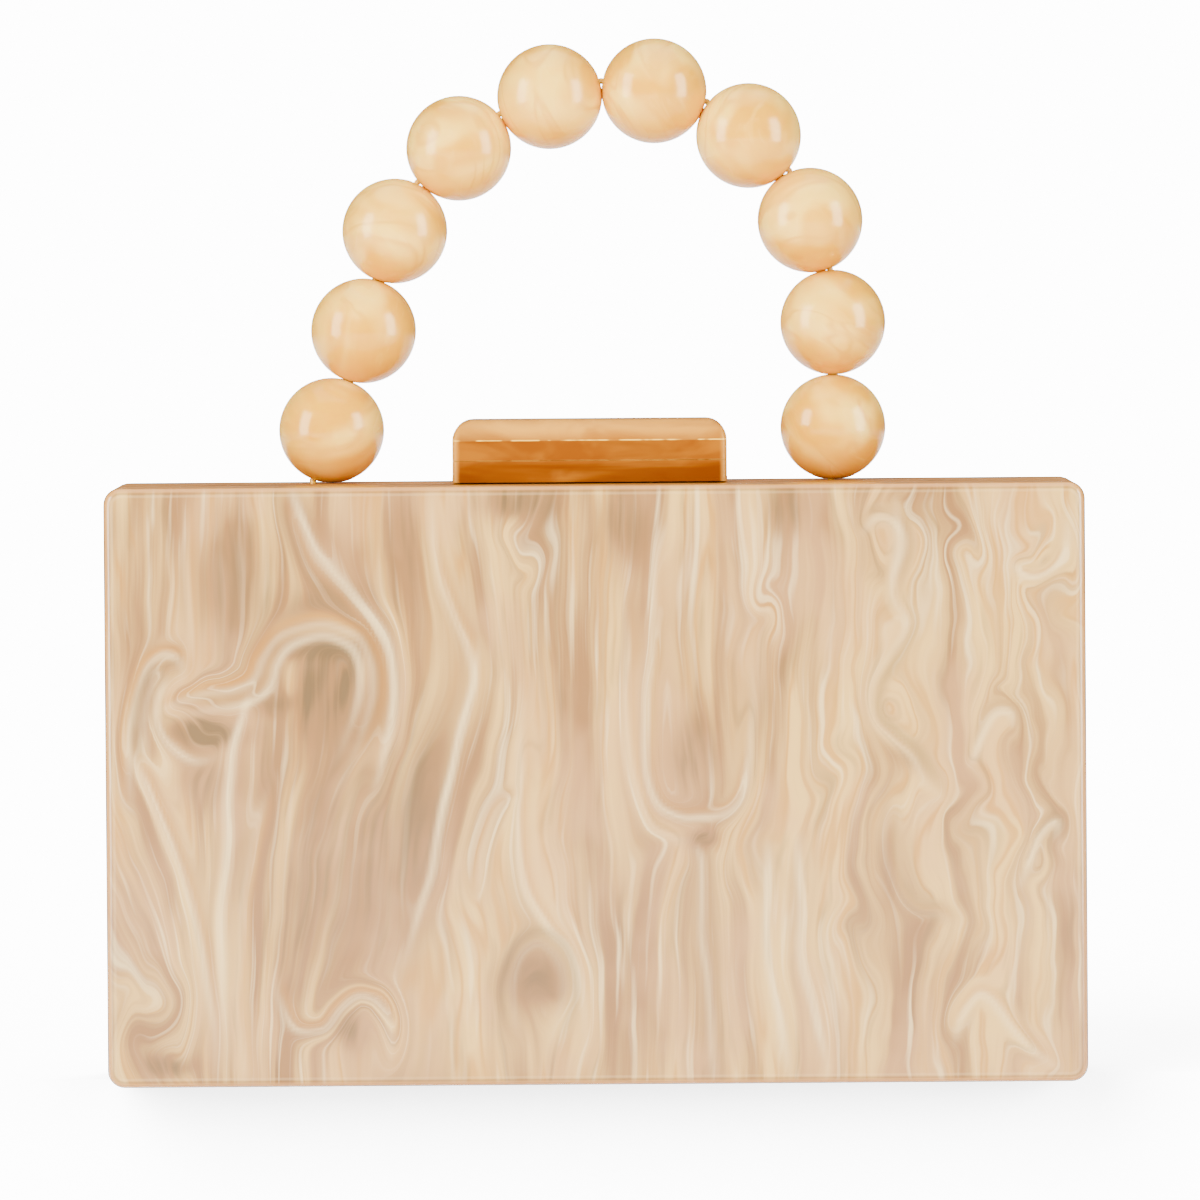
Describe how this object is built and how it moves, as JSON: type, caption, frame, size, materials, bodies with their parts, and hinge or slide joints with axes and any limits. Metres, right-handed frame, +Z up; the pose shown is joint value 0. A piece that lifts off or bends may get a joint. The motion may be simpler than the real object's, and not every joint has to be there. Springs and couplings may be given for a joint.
{
  "type": "acrylic box clutch",
  "caption": "Hard box clutch of marbled acrylic whose front half tips open on bottom hinges, with a top clasp and an arched handle of strung round beads.",
  "frame": {"origin": "on the surface the clutch stands on, in the middle of its width, at the seam between its halves", "axes": "+X to the right seen from the front, +Y from the front half to the back half, +Z up"},
  "size_m": [0.188, 0.052, 0.2006],
  "materials": {
    "marbled_acrylic": "polished pearl acrylic with vertical marbled streaks",
    "peach_acrylic": "polished peach acrylic with faint streaks",
    "amber_acrylic": "polished translucent amber acrylic",
    "pearl_bead": "polished pearl resin with soft swirls",
    "hinge_brass": "brushed brass",
    "handle_wire": "gold-coloured drawn wire"
  },
  "bodies": {
    "back": {"back_panel": "marbled_acrylic", "back_frame": "peach_acrylic", "clasp_bar": "amber_acrylic", "hinge_leaf_back_left": "hinge_brass", "hinge_leaf_back_right": "hinge_brass", "hinge_pin_left": "hinge_brass", "hinge_pin_right": "hinge_brass", "bead_01": "pearl_bead", "bead_02": "pearl_bead", "bead_03": "pearl_bead", "bead_04": "pearl_bead", "bead_05": "pearl_bead", "bead_06": "pearl_bead", "bead_07": "pearl_bead", "bead_08": "pearl_bead", "bead_09": "pearl_bead", "bead_10": "pearl_bead", "handle_wire": "handle_wire", "wire_stop_left": "handle_wire", "wire_stop_right": "handle_wire"},
    "front": {"front_panel": "marbled_acrylic", "front_frame": "peach_acrylic", "clasp_keeper": "amber_acrylic", "hinge_leaf_front_left": "hinge_brass", "hinge_leaf_front_right": "hinge_brass"}
  },
  "joints": [
    {"name": "front_open", "type": "hinge", "parent": "back", "child": "front", "pos_m": [0, 0, 0.0017], "axis": [1, 0, 0], "range_deg": [0, 90]}
  ]
}
